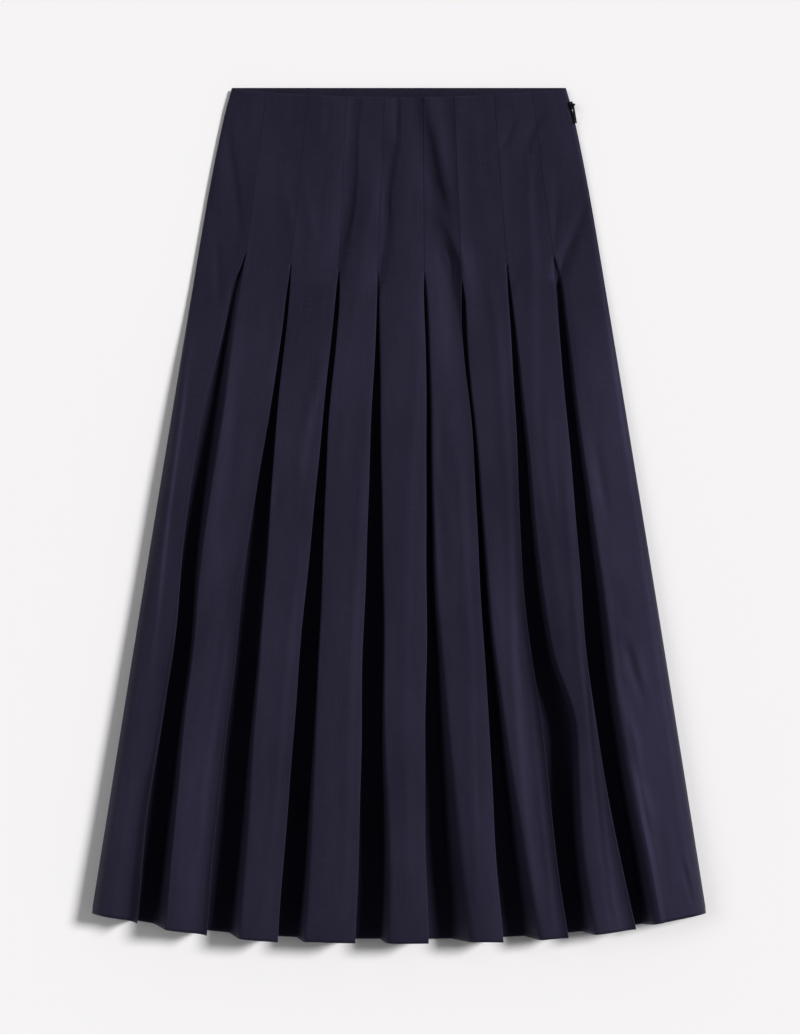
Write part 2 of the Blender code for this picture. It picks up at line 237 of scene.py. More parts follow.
# %% The eight pleats
FOLD_SHARES = (0.0, 0.03, 0.05, 0.1, 0.25, 0.45, 0.575, 0.7, 0.85, 1.0)
ROLL_SHARES = (0.0, 0.1, 0.3, 0.6, 1.0)
PLEATS = (
    dict(waist_x=-137, seam=0.05, open_x=-157, open_down=168,
         lean=(1, 7, 10, 6, 15), hollow=(0, 0, 0, 2.5, 7),
         left=(-164, -171, -177, -202, -221, -229, -241, -257, -267), left_roll=(0.3, 0.3, 0.5, 1, 1.5),
         right=(-161.5, -164, -170, -183, -202, -210, -220, -229, -239), right_roll=(1.5, 4, 3, 1.5, 2)),
    dict(waist_x=-94, seam=0.04, open_x=-111, open_down=181,
         lean=(1, 1, 1, 3, 10), hollow=(0, 0, 0.8, 4.5, 6.5),
         left=(-114, -116, -120, -136, -157, -166, -176, -187, -196), left_roll=(0.8, 0.8, 0.8, 1, 1.5),
         right=(-112, -113, -116, -127, -136, -142, -150, -157, -165), right_roll=(1, 1, 1.5, 3, 8)),
    dict(waist_x=-54, seam=0.06, open_x=-62, open_down=186,
         lean=(1, 1, 1, 2, 7), hollow=(0, 0, 0, 0.3, 1),
         left=(-64.3, -65.7, -69, -80, -93, -101, -108, -116, -123), left_roll=(0.8, 0.8, 0.8, 0.8, 1),
         right=(-61.2, -61.5, -64, -73, -79, -82, -86, -92, -98), right_roll=(1, 1, 1.5, 2.5, 7)),
    dict(waist_x=-15, seam=0.07, open_x=-22, open_down=190,
         lean=(1, 1, 1, 2, 6), hollow=(0, 0, 0, 0, 0),
         left=(-22.4, -22.8, -24, -29, -34, -37, -38, -41, -44), left_roll=(0.8, 0.8, 0.8, 0.8, 1),
         right=(-21.2, -21, -20.5, -18.5, -16.5, -16, -15.5, -12, -14), right_roll=(3, 3, 2, 3, 8)),
    dict(waist_x=25, seam=0.15, open_x=26, open_down=190,
         lean=(1, 2, 3, 7, 14), hollow=(0, 0, 0, 0, 0.3),
         left=(25.6, 25.8, 27, 28.5, 28, 28, 27, 27, 30), left_roll=(0.8, 0.8, 0.8, 0.8, 1),
         right=(27.9, 28.8, 30.5, 33, 37, 42, 49, 58, 68), right_roll=(2, 3, 3, 6, 13)),
    dict(waist_x=57, seam=0.07, open_x=65, open_down=200,
         lean=(1, 2, 3, 6, 12), hollow=(1.0, 1.4, 0.6, 0, 0.3),
         left=(64, 64, 66, 76, 83, 87.5, 93, 98.5, 106), left_roll=(0.3, 0.3, 0.5, 0.8, 1),
         right=(68.5, 69.3, 70.8, 79.5, 90.3, 98.5, 109, 124, 141), right_roll=(0.6, 1.5, 3, 4, 9)),
    dict(waist_x=98, seam=0.12, open_x=111, open_down=181,
         lean=(1, 2, 4, 5, 9), hollow=(0, 0, 1.5, 6, 5),
         left=(111.8, 112.5, 115, 120, 126, 135, 147, 158, 173), left_roll=(0.8, 0.8, 0.8, 1, 1.5),
         right=(114, 115.8, 120, 131, 143, 157, 181, 184, 198), right_roll=(1, 1.5, 2, 2.5, 8)),
    dict(waist_x=137, seam=0.1, open_x=159, open_down=173,
         lean=(1, 2, 4, 6, 8), hollow=(0, 0, 0, 1, 5),
         left=(160.5, 161.5, 164, 173, 184, 191, 202, 219, 242), left_roll=(0.8, 0.8, 0.8, 1, 1.5),
         right=(165, 168, 172, 185, 203, 213, 224, 241, 258), right_roll=(3, 2, 2, 4, 10)),
)
print("pleats", len(PLEATS))

# %% [markdown]
# Real folds are never ruler straight. Each fold line gets a slow sideways wander of its own, from two
# sine waves whose phase comes from the fold's number, so it is uneven but the same on every run.

# %% The course of each fold
WANDER = 0.6
WANDER_WAVES = (2.3, 5.1)
WANDER_PARTS = (0.7, 0.4)
WANDER_GROWS = 0.3
PHASE_STEP = 2.4


def wander(number):
    """Return a slow uneven sideways shift, nothing at the hip and growing below it."""
    shift = sum(
        part * np.sin(2 * math.pi * waves * shares + number * PHASE_STEP + waves)
        for waves, part in zip(WANDER_WAVES, WANDER_PARTS)
    )
    return WANDER * shift * ease(shares / WANDER_GROWS)


def fold_x(pleat, side, number):
    """Return where a pleat's left or right fold runs at every section, or its seam above the hip."""
    seam = pleat["open_x"] + shares * (pleat["open_x"] - pleat["waist_x"])
    folds = pleat["left"] if side < 0 else pleat["right"]
    opened = smooth(FOLD_SHARES, (pleat["open_x"], *folds), shares)
    return np.where(shares <= 0, seam, opened + wander(2 * number + side))


print("the first pleat's left fold meets the hem at", round(float(fold_x(PLEATS[0], -1, 0)[-1]), 1), "mm")

# %% [markdown]
# A pleat in cross-section: the panel's top rolls over a fold, the wall runs down to the pleat's floor,
# and the floor crosses to the other wall. The roll is part of an ellipse that ends at the wall's own
# slope, so it runs into the wall without a corner. Above the hip the same columns lie flat on either
# side of the stitched seam, which is a slit a fraction of a millimetre wide, where the two folds meet.
# The two layouts are mixed over the first few millimetres of the opening.

# %% One pleat's columns
STITCHED_FAR = np.array((11.5, 10.2, 8.9, 7.7, 6.5, 5.3, 4.0, 2.4, 0.09, 0.05, 0.0))
STITCHED_NEAR = np.array((3.2, 2.8, 2.4, 2.0, 1.65, 1.3, 1.0, 0.6, 0.09, 0.05, 0.0))
STITCHED_DROP = np.array((0, 0, 0, 0, 0, 0, 0, 0, 0, 0, 0.9))
GATHER_SHARES = (-0.4, -0.06)
ROLL_STEPS = np.linspace(0, 1, 7)
WALL_STEPS = np.array((0.45, 0.85, 0.985))
ROLL_HEIGHT = 1.15
ROLL_LIMIT = 0.55
FULL_LEAN = 3
FOOT_REACH = 0.9
OPENING_SHARE = 0.014


def pleat_side(pleat, side, number):
    """Return the x and height of one side of a pleat, from the panel's top to the pleat's floor."""
    fold = fold_x(pleat, side, number)[:, None]
    top = panel_height[:, None]
    depth = top - pleat_floor[:, None]
    roll = smooth(ROLL_SHARES, pleat["left_roll"] if side < 0 else pleat["right_roll"], shares)[:, None]
    roll_z = np.minimum(ROLL_HEIGHT * roll, ROLL_LIMIT * depth)
    leaning = smooth(ROLL_SHARES, pleat["lean"], shares)[:, None] if side > 0 else 0
    lean = leaning - tuck_under[:, None] * (1 - ease(leaning / FULL_LEAN))
    slope = np.arctan2(depth - roll_z, lean)
    angle = slope * ROLL_STEPS
    inward = -side
    roll_x = fold - inward * roll * (1 - np.sin(angle))
    roll_height = top - roll_z * (1 - np.cos(angle))
    foot_x = fold + inward * lean
    foot_z = top - depth
    wall_x = roll_x[:, -1:] + WALL_STEPS * (foot_x - roll_x[:, -1:])
    wall_z = roll_height[:, -1:] + WALL_STEPS * (foot_z - roll_height[:, -1:])
    open_x = np.hstack((roll_x, wall_x, foot_x + inward * FOOT_REACH))
    open_z = np.hstack((roll_height, wall_z, foot_z))
    gathered = ease((share_column - GATHER_SHARES[0]) / (GATHER_SHARES[1] - GATHER_SHARES[0]))
    out = STITCHED_FAR + gathered * (STITCHED_NEAR - STITCHED_FAR)
    seam_x = fold + side * (pleat["seam"] + out)
    seam_z = top - STITCHED_DROP
    opened = ease(share_column / OPENING_SHARE)
    return seam_x + opened * (open_x - seam_x), seam_z + opened * (open_z - seam_z)


def pleat_columns(pleat, number):
    """Return all the columns of a pleat from its left panel to its right one."""
    left_x, left_z = pleat_side(pleat, -1, number)
    right_x, right_z = pleat_side(pleat, 1, number)
    middle_x = (left_x[:, -1:] + right_x[:, -1:]) / 2
    middle_z = (left_z[:, -1:] + right_z[:, -1:]) / 2
    return np.hstack((left_x, middle_x, right_x[:, ::-1])), np.hstack((left_z, middle_z, right_z[:, ::-1]))


pleat_parts = [pleat_columns(pleat, number) for number, pleat in enumerate(PLEATS)]
pleat_width = pleat_parts[0][0].shape[1]
print("columns in a pleat", pleat_width)

# %% [markdown]
# Between two pleats lies a panel, which crowns a little. The outermost panels slope gently and then
# round down to the side seams like a quarter of an ellipse, and end in a short upright rim. The left one
# slopes less, and the right one rounds down more tightly.

# %% Panels between the pleats and out to the side seams
PANEL_STEPS = np.linspace(0, 1, 13)[1:-1]
SIDE_STEPS = np.concatenate(((0, 0.012, 0.03, 0.055), np.linspace(0.09, 1, 17)[:-1]))
SLOPE_PART = {-1: 0.18, 1: 0.48}
EDGE_PART = {-1: 1.0, 1: 0.6}


def panel_columns(start, end):
    """Return the x and height of a panel's inner columns, between the pleat columns beside it."""
    start_x, end_x = start[0][:, -1:], end[0][:, :1]
    start_z, end_z = start[1][:, -1:], end[1][:, :1]
    x = start_x + (end_x - start_x) * PANEL_STEPS
    level = start_z + (end_z - start_z) * PANEL_STEPS
    return x, level + panel_bulge[:, None] * 4 * PANEL_STEPS * (1 - PANEL_STEPS)


def side_columns(side, inner_x):
    """Return the columns from a side seam to the nearest pleat, with a short upright rim at the seam."""
    rim = WALL + SEAM_GAP
    seam_down = np.where(
        shares < 0,
        HIP_SIDE_DOWN + shares * (HIP_SIDE_DOWN - FRONT_DIP_SIDE),
        HIP_SIDE_DOWN + shares * (hem_down(HEM_HALF_WIDTH) - HIP_SIDE_DOWN),
    )
    seam_x = (side * side_x(seam_down))[:, None]
    x = seam_x + SIDE_STEPS * (inner_x[:, None] - seam_x)
    inboard = np.abs(x - seam_x)
    edge = 1 - np.minimum(1, inboard / (EDGE_PART[side] * edge_rise[:, None]))
    slope = ease(0.5 * np.minimum(1, inboard / side_slope[:, None]) + 0.5) * 2 - 1
    risen = np.sqrt(1 - edge ** 2) * (1 - SLOPE_PART[side] * (1 - slope))
    z = rim + WALL + (panel_height[:, None] - rim - WALL) * risen
    x = np.hstack((seam_x, x))
    z = np.hstack((np.full_like(seam_x, rim), z))
    return (x, z) if side < 0 else (x[:, ::-1], z[:, ::-1])


parts = [side_columns(-1, pleat_parts[0][0][:, 0])]
hips = [np.full(parts[0][0].shape[1], HIP_SIDE_DOWN)]
for number, columns in enumerate(pleat_parts):
    parts.append(columns)
    hips.append(np.full(columns[0].shape[1], PLEATS[number]["open_down"]))
    if number + 1 < len(pleat_parts):
        parts.append(panel_columns(columns, pleat_parts[number + 1]))
        hip_start, hip_end = PLEATS[number]["open_down"], PLEATS[number + 1]["open_down"]
        hips.append(hip_start + (hip_end - hip_start) * PANEL_STEPS)
parts.append(side_columns(1, pleat_parts[-1][0][:, -1]))
hips.append(np.full(parts[-1][0].shape[1], HIP_SIDE_DOWN))
front_x = np.hstack([part[0] for part in parts])
front_z = np.hstack([part[1] for part in parts])
front_hip = np.concatenate(hips)[None, :]
part_ends = np.cumsum([part[0].shape[1] for part in parts])
# A column's own panel starts and ends in the middle of the pleats beside it.
pleat_middles = part_ends[1::2] - pleat_width // 2 - 1
panel_edges = np.concatenate(((0,), pleat_middles, (front_x.shape[1],)))
front_middle = np.concatenate([
    np.full(end - start, (start + end) // 2) for start, end in zip(panel_edges[:-1], panel_edges[1:])
])
print("front grid", front_x.shape)

# %% [markdown]
# Each column has a place at the waist, at the hip and at the hem, and the section's share says how far
# along it lies. The panels half way out to the sides hang a little lower than the hem's even curve.

# %% How far down each point lies
FLOOR_DROP = (0.4, 3.6)
PANEL_DROP = 2.4
HANG_START = 0.25
HANG_START_WIDTH = 0.15
HANG_END = 0.85
HANG_END_WIDTH = 0.12

seam_at = np.maximum(np.abs(front_x[:, :1]), np.abs(front_x[:, -1:]))
across_share = front_x / seam_at
at_waist = waist_down(across_share * side_x(0))
sunk = 1 - np.clip((front_z - pleat_floor[:, None]) / (panel_height - pleat_floor)[:, None], 0, 1)
out_share = np.abs(across_share)
half_way = ease((out_share - HANG_START) / HANG_START_WIDTH) * ease((HANG_END - out_share) / HANG_END_WIDTH)
floor_drop = FLOOR_DROP[0] + (FLOOR_DROP[1] - FLOOR_DROP[0]) * out_share
at_hem = hem_down(across_share * HEM_HALF_WIDTH) + floor_drop * sunk + PANEL_DROP * half_way * (1 - sunk)
front_down = np.where(
    share_column < 0,
    front_hip + share_column * (front_hip - at_waist),
    front_hip + share_column * (at_hem - front_hip),
)
print("lowest hem", round(float(front_down[-1].max()), 1), "mm down")

# %% [markdown]
# Creases are what make cloth look like cloth. A simulation would put them anywhere, but these have known
# places, so each is laid along a line: its kind, how far it reaches to its left and right, and three short
# rows with the line's places down, its places across, and its depth at each place, all in millimetres. A
# valley is a dent with a sharp bottom. A tuck rises ever more steeply up to a crisp line and stops there. A
# lap rises over its line from a hollow on the left to a swelling on the right, as one layer pushes another.
# A ridge is a raised pressed line. Above the hip the cloth is pulled into tucks towards the pleats'
# openings, and down the panels run long pressed ridges, uneven in length and height.

# %% Creases placed along lines
CREASES = (
    # (kind, left reach, right reach, places down, places across, depths)
    ("tuck", 5, 0,
     (32, 65, 94, 122, 153),
     (-173, -170, -165, -162, -159),
     (0.5, 1.7, 1.9, 1.2, 0.3)),
    ("valley", 3, 2,
     (20, 32, 44),
     (-165, -163, -159),
     (0.2, 0.5, 0.1)),
    ("valley", 2, 2,
     (26, 36, 55),
     (-73, -74, -76),
     (0.15, 0.25, 0.05)),
    ("tuck", 8, 0,
     (13, 39, 75, 116, 142, 168, 194),
     (-38, -41, -42, -44, -48, -53, -58),
     (1.6, 2.8, 3.3, 3.8, 4.0, 3.8, 2.6)),
    ("tuck", 3, 0,
     (10, 34, 60),
     (1, 1, 0),
     (0.9, 1.3, 0.6)),
    ("tuck", 5, 0,
     (65, 85, 106, 122, 139, 158, 180, 209),
     (-1, -4, -7, -8, -7, -8, -12, -19),
     (1.0, 2.0, 2.5, 2.7, 2.4, 2.6, 2.7, 2.0)),
    ("lap", 9, 6,
     (11, 32, 55, 75, 96, 116, 139, 153),
     (26, 29, 35, 39, 43, 48, 52, 56),
     (1.7, 2.5, 3.2, 3.6, 3.8, 3.0, 1.4, 0.2)),
    ("lap", 10, 5,
     (125, 139, 152, 166, 180, 199, 225, 250, 275),
     (41, 45.5, 51, 55.5, 60.5, 62.5, 64, 65.5, 68),
     (0.3, 1.8, 3.4, 4.8, 5.6, 5.2, 3.6, 2.0, 0.4)),
    ("tuck", 3, 0,
     (34, 46, 56, 63, 69),
     (124, 118, 114, 109, 102),
     (0.3, 1.2, 1.3, 1.0, 0.3)),
    ("tuck", 4, 0,
     (30, 38, 48, 62),
     (153, 146, 141, 136),
     (0.4, 1.3, 1.1, 0.3)),
    ("ridge", 7, 4,
     (65, 91, 116, 152, 189, 251, 323, 374, 415, 456, 528, 579),
     (136, 135, 134, 136, 138, 137, 138, 141, 145, 152, 164, 171),
     (0.1, 0.5, 0.6, 0.6, 0.6, 0.5, 0.5, 0.4, 0.4, 0.4, 0.3, 0.1)),
    ("ridge", 8, 8,
     (26, 44, 80, 122),
     (77, 77, 80, 78),
     (0.1, 0.4, 0.4, 0.2)),
    ("ridge", 6, 5,
     (80, 106, 132, 158),
     (-117, -118, -112, -110),
     (0.1, 0.35, 0.35, 0.1)),
    ("ridge", 5, 5,
     (96, 116, 152, 168),
     (-97, -95, -90, -91),
     (0.1, 0.35, 0.5, 0.1)),
    ("valley", 6, 6,
     (75, 96, 122, 142),
     (-78, -79, -81, -84),
     (0.1, 0.4, 0.4, 0.1)),
    ("ridge", 8, 8,
     (65, 116, 163, 209, 261),
     (-32, -30, -38, -43, -49),
     (0.2, 0.4, 0.5, 0.4, 0.2)),
    ("valley", 5, 3,
     (91, 116, 142, 163),
     (163, 163, 162, 160),
     (0.2, 0.5, 0.7, 0.4)),
    ("valley", 7, 5,
     (112, 129, 142, 156, 168, 180, 194),
     (195, 189, 184, 179, 174, 169, 166),
     (0.2, 0.8, 1.5, 2.1, 3.2, 4.2, 3.2)),
    ("tuck", 4, 0,
     (180, 194, 205, 215),
     (131, 125, 119, 115),
     (0.2, 0.8, 0.9, 0.3)),
    ("valley", 4, 3,
     (156, 170, 189, 207, 224),
     (-188, -187, -186, -185, -183),
     (0.1, 0.7, 1.1, 1.1, 0.5)),
    ("ridge", 6, 2.5,
     (245, 302, 364, 425, 487, 548, 619),
     (-215, -221, -228, -236, -243, -249, -257),
     (0.2, 1.2, 1.6, 1.7, 1.6, 0.9, 0.2)),
    ("ridge", 4, 9,
     (230, 270, 342, 410, 481, 540),
     (-168, -173, -182, -191, -200, -205),
     (0.2, 0.9, 1.6, 1.6, 1.0, 0.2)),
    ("valley", 5, 4,
     (220, 245, 273),
     (-135, -134, -132),
     (0.1, 0.4, 0.1)),
    ("tuck", 5, 0,
     (294, 323, 348, 379, 420, 446),
     (-157, -160, -163, -165, -167, -171),
     (0.1, 0.5, 0.8, 0.7, 0.4, 0.1)),
    ("valley", 5, 4,
     (461, 487, 512),
     (-177, -179, -180),
     (0.1, 0.4, 0.1)),
    ("ridge", 5, 2.5,
     (446, 497, 528, 568, 609, 650, 691, 731, 792),
     (-154, -162, -168, -176, -182, -189, -196, -200, -204),
     (0.1, 0.5, 0.6, 0.6, 0.6, 0.6, 0.5, 0.5, 0.2)),
    ("ridge", 5, 3,
     (731, 772, 812, 848),
     (-219, -223, -227, -230),
     (0.1, 0.4, 0.4, 0.2)),
    ("ridge", 7, 3.5,
     (269, 292, 318, 343, 369, 389, 413),
     (-75, -80, -86, -93, -98, -101, -102),
     (0.1, 0.7, 1.0, 1.1, 1.1, 1.0, 0.2)),
    ("ridge", 6, 3,
     (487, 528, 579, 629, 680, 731, 792),
     (-100, -108, -113, -118, -122, -126, -133),
     (0.1, 0.45, 0.5, 0.5, 0.5, 0.45, 0.2)),
    ("valley", 3, 5,
     (397, 413, 425, 441),
     (-124, -125, -127, -132),
     (0.2, 1.3, 1.4, 0.3)),
    ("ridge", 5, 2.5,
     (323, 364, 405, 466, 528, 568, 629, 691, 751, 812, 853),
     (-32, -34, -37, -41, -45, -47, -50, -52, -53, -55, -57),
     (0.1, 0.4, 0.5, 0.6, 0.6, 0.6, 0.6, 0.55, 0.5, 0.4, 0.2)),
    ("ridge", 4, 4,
     (335, 354, 374, 393),
     (-56, -57, -60, -62),
     (0.1, 0.4, 0.4, 0.1)),
    ("ridge", 6, 4,
     (209, 271, 323, 364, 405, 466, 528, 629, 731, 812),
     (20, 19, 17, 14, 11, 8, 7, 6, 8, 9),
     (0.1, 0.4, 0.5, 0.5, 0.45, 0.4, 0.4, 0.4, 0.35, 0.2)),
    ("valley", 4, 4,
     (331, 354, 379, 400),
     (44, 43, 43, 45),
     (0.2, 0.9, 1.1, 0.4)),
    ("valley", 5, 5,
     (415, 441, 471, 495, 507),
     (40, 42, 44, 45, 45),
     (0.3, 1.4, 1.8, 1.2, 0.2)),
    ("ridge", 6, 3,
     (364, 405, 466, 528, 589, 670, 751, 833),
     (59, 63, 67, 69, 73, 73, 77, 79),
     (0.1, 0.4, 0.5, 0.5, 0.4, 0.4, 0.5, 0.3)),
    ("tuck", 3, 0,
     (523, 540, 556),
     (64, 61, 58),
     (0.1, 0.6, 0.1)),
    ("ridge", 6, 3,
     (194, 220, 261, 323, 374, 425, 487, 538, 609, 670, 731, 792, 843),
     (93, 97, 102, 106, 110, 113, 115, 116, 118, 121, 126, 134, 142),
     (0.1, 0.5, 0.6, 0.6, 0.6, 0.6, 0.7, 0.7, 0.6, 0.6, 0.6, 0.5, 0.2)),
    ("ridge", 4, 3,
     (568, 629, 691, 751, 812, 858),
     (125, 134, 140, 146, 153, 157),
     (0.1, 0.5, 0.6, 0.7, 0.6, 0.3)),
    ("tuck", 3, 0,
     (528, 540, 556),
     (94, 98, 102),
     (0.1, 0.7, 0.1)),
    ("ridge", 4, 3,
     (318, 364, 415, 451),
     (152, 153, 158, 163),
     (0.1, 0.4, 0.4, 0.1)),
    ("ridge", 4, 3,
     (379, 425, 487, 548, 609, 650),
     (169, 172, 176, 181, 186, 190),
     (0.1, 0.5, 0.6, 0.6, 0.5, 0.1)),
    ("valley", 1.2, 1.2,
     (528, 579, 619, 670, 731, 792, 833, 865),
     (184, 189, 192, 196, 202, 209, 214, 221),
     (0.1, 0.35, 0.5, 0.55, 0.55, 0.55, 0.5, 0.3)),
    ("ridge", 2, 2,
     (579, 629, 691, 772, 833, 863),
     (193, 196, 202, 210, 217, 224),
     (0.1, 0.4, 0.45, 0.45, 0.4, 0.2)),
    ("tuck", 3, 0,
     (560, 573, 589, 601),
     (164, 162, 159, 156),
     (0.1, 0.8, 0.9, 0.1)),
    ("valley", 6, 4,
     (364, 389, 415, 440),
     (200, 205, 209, 212),
     (0.2, 0.9, 1.2, 0.2)),
    ("valley", 5, 4,
     (568, 584, 601, 619, 634),
     (230, 236, 241, 247, 250),
     (0.2, 1.6, 1.9, 0.9, 0.2)),
    ("ridge", 6, 4,
     (581, 601, 619),
     (242, 246, 251),
     (0.2, 0.9, 0.2)),
    ("ridge", 5, 4,
     (619, 638, 655, 671, 691, 711, 731, 754),
     (228, 231, 235, 241, 243, 245, 251, 258),
     (0.1, 0.7, 0.9, 0.9, 0.7, 0.5, 0.7, 0.3)),
    ("valley", 4, 4,
     (666, 680, 695, 709),
     (227, 230, 236, 238),
     (0.1, 1.1, 0.5, 0.1)),
    ("valley", 9, 6,
     (746, 777, 802, 833),
     (261, 267, 271, 274),
     (0.1, 0.7, 0.6, 0.1)),
    ("ridge", 2.5, 2,
     (784, 800, 817, 838),
     (292, 296, 301, 306),
     (0.1, 0.9, 1.1, 0.6)),
    ("valley", 3, 2,
     (794, 812, 833, 845),
     (290, 295, 301, 305),
     (0.1, 0.9, 0.7, 0.2)),
    ("valley", 8, 8,
     (502, 528, 553),
     (218, 224, 228),
     (0.1, 0.6, 0.1)),
)

RIDGE_LIFT = 1.4
VALLEY_ROUND = 0.6
VALLEY_WIDTH = 1.2
CREASE_FADE = 10.0
HOLLOW_REACH = 10.0
LIFT_PART = 0.85


def crease_height(kind, left, right, offset):
    """Return a crease's height for a depth of one, at a distance to the right of its line."""
    before = np.minimum(offset, 0) / -left
    if kind == "tuck":
        return -before * np.exp(1 - before)
    after = np.maximum(offset, 0) / right
    if kind == "lap":
        return right / left * after * np.exp(1 - after) - before * np.exp(1 - before)
    reach = np.where(offset < 0, before, after)
    if kind == "valley":
        return -np.exp(-reach * np.sqrt(reach ** 2 + VALLEY_ROUND) / VALLEY_WIDTH)
    return RIDGE_LIFT * np.exp(-(reach ** 2))


rim_top = SEAM_GAP + 2 * WALL
lift = ease((front_z - rim_top) / (LIFT_PART * (panel_height[:, None] - rim_top)))
crease_sum = np.zeros_like(front_z)
for kind, left, right, downs, acrosses, depths in CREASES:
    line = smooth(downs, acrosses, front_down)
    reached = (front_down >= downs[0]) & (front_down <= downs[-1])
    depth = np.where(reached, smooth(downs, depths, front_down), 0)
    fade_in = ease((front_down - downs[0] + CREASE_FADE) / CREASE_FADE)
    fade = fade_in * ease((downs[-1] + CREASE_FADE - front_down) / CREASE_FADE)
    depth = np.where(reached, depth, fade * np.where(front_down < downs[0], depths[0], depths[-1]))
    crease_sum += depth * crease_height(kind, left, right, front_x - line)
for number, pleat in enumerate(PLEATS):
    beside_fold = front_x - fold_x(pleat, -1, number)[:, None]
    hollow = smooth(ROLL_SHARES, pleat["hollow"], shares)[:, None]
    crease_sum += hollow * crease_height("tuck", HOLLOW_REACH, 0, beside_fold)
front_z = front_z + lift * crease_sum
print("creases", len(CREASES), "deepest", round(float(-crease_sum.min()), 2), "mm")

# %% [markdown]
# A cloth buckles faintly all over. A few crossing waves, long down the panels and shorter across them,
# keep any stretch from being perfectly smooth. Near the waist edge the cloth also rolls over a little.
# However deep a crease is, the front can only sink until it lies on the back.

# %% Faint waves and rolled edges
BUCKLE = 0.35
BUCKLE_AT_WAIST = 0.6
BUCKLE_GAIN = 0.9
BUCKLE_GROWS = 0.5
EDGE_ROLL = 0.5
EDGE_ROLL_REACH = 1.6
ON_THE_BACK = WALL + SEAM_GAP


def buckle(x, down):
    """Return faint crossing waves, at most about one either way. A larger divisor makes a longer wave."""
    long_waves = np.sin(x / 23 + 0.7 * np.sin(down / 90)) * np.sin(down / 140 + x / 70)
    short_waves = np.sin(x / 9 + 1.1 * np.sin(down / 60 + 1)) * np.sin(down / 55 + 2)
    diagonal = np.sin((x + 0.6 * down) / 31 + 1.7)
    return 0.5 * long_waves + 0.2 * short_waves + 0.3 * diagonal


buckled = BUCKLE_AT_WAIST + BUCKLE_GAIN * ease(share_column / BUCKLE_GROWS)
front_z = front_z + lift * BUCKLE * buckle(front_x, front_down) * buckled
waist_edge = np.clip(1 - (front_down - at_waist) / EDGE_ROLL_REACH, 0, 1)
front_z = front_z - EDGE_ROLL * waist_edge ** 2 * lift
front_z = np.maximum(front_z, ON_THE_BACK)
print("highest fold", round(float(front_z.max()), 1), "mm")

# %% [markdown]
# A grid becomes a mesh with one face for each four points. Its cloth map holds the distance across and
# down the cloth itself, in metres, so the weave is the right size on a pleat's wall too. Across is
# measured from the middle of each column's own panel, so the threads run straight down every panel, as
# they do on the real cloth, and the cloth that the stitched pleats hide above the hip is left out at the
# seam. Solidify gives the sheet its thickness from its outer face inwards.

# %% From grid to cloth
def add_cloth_map(mesh, places):
    """Give a mesh its cloth map, from every point's place across and down the cloth in metres."""
    uv_map = mesh.uv_layers.new(name="cloth")
    corners = np.empty(len(mesh.loops), dtype=np.int32)
    mesh.loops.foreach_get("vertex_index", corners)
    uv_map.data.foreach_set("uv", np.asarray(places)[corners].ravel().astype(np.float32))


def cloth_sheet(name, x, down, z, thickness, panel_middle=None, face_up=True):
    """Return an object made from a grid of places, with its cloth map and its wall."""
    rows, columns = x.shape
    places = np.stack((x, LENGTH / 2 - down, z), axis=-1) * MM
    corner = np.arange((rows - 1) * columns).reshape(rows - 1, columns)[:, :-1].ravel()
    faces = np.stack((corner, corner + columns, corner + columns + 1, corner + 1), axis=-1)
    if not face_up:
        faces = faces[:, ::-1]
    mesh = bpy.data.meshes.new(name)
    mesh.from_pydata(places.reshape(-1, 3).tolist(), [], faces.tolist())
    across = np.linalg.norm(np.diff(places, axis=1), axis=-1)
    across = np.hstack((np.zeros((rows, 1)), np.cumsum(across, axis=1)))
    if panel_middle is None:
        panel_middle = np.full(columns, columns // 2)
    across += across[-1, panel_middle] - across[-1, columns // 2] - across[:, panel_middle]
    add_cloth_map(mesh, np.stack((across.ravel(), down.ravel() * MM), axis=-1))
    mesh.shade_smooth()
    sheet = add_object(name, mesh)
    wall = sheet.modifiers.new("wall", "SOLIDIFY")
    wall.thickness = thickness * MM
    wall.offset = -1.0
    area = sum(face.area for face in mesh.polygons)
    print(name, len(mesh.polygons), "faces,", round(area, 3), "m2,",
          "hem measured along the cloth", round(float(np.ptp(across[-1])), 3), "m")
    return sheet


front = cloth_sheet("skirt_front", front_x, front_down, front_z, CLOTH, front_middle)

# %% [markdown]
# The back lies flat under the front. Its own pleats are pressed closed, so on the underside each is a
# narrow groove from the hip to the hem. The facing is a strip sewn inside the back's waist: it shows
# above the front's dipped edge, with a line of understitching a few millimetres below the edge.

# %% The back and its facing
BACK_ROWS = 110
BACK_COLUMNS = 240
BACK_HEM_SHORTER = 1.5
BACK_PLEAT_X = (-120, -86, -51, -17, 17, 51, 86, 120)
BACK_PLEAT_DEPTH = 0.45
BACK_HIP_DOWN = 180.0
GROOVE_WIDTH = 0.8
GROOVE_WIDENS = 2.2
WIDENS_OVER = 500.0
GROOVE_AT_HIP = 0.35
OPENS_OVER = 60.0
FACING_ROWS = 14
FACING_COLUMNS = 120
FACING_DEPTH = 45.0
FACING_INSET = 3.5
FACING_WALL = 1.0
FACING_CLOTH = 0.6
UNDERSTITCH_DOWN = 6.0
UNDERSTITCH_DEPTH = 0.35
UNDERSTITCH_WIDTH = 1.2


def flat_grid(rows, columns, top_down, bottom_down, inset):
    """Return x and down over a flat piece between two lines of the skirt."""
    share = np.linspace(0, 1, rows)[:, None]
    across = np.linspace(-1, 1, columns)[None, :]
    seam_down = top_down + share * (bottom_down(HEM_HALF_WIDTH) - top_down)
    down = top_down + share * (bottom_down(across * HEM_HALF_WIDTH) - top_down)
    return across * (side_x(seam_down) - inset), down


def back_hem(x):
    """Return how far down the back's hem lies, a little shorter than the front's."""
    return hem_down(x) - BACK_HEM_SHORTER


def facing_edge(x):
    """Return how far down the facing's lower edge lies, the same all the way across."""
    return np.full_like(x, FACING_DEPTH)


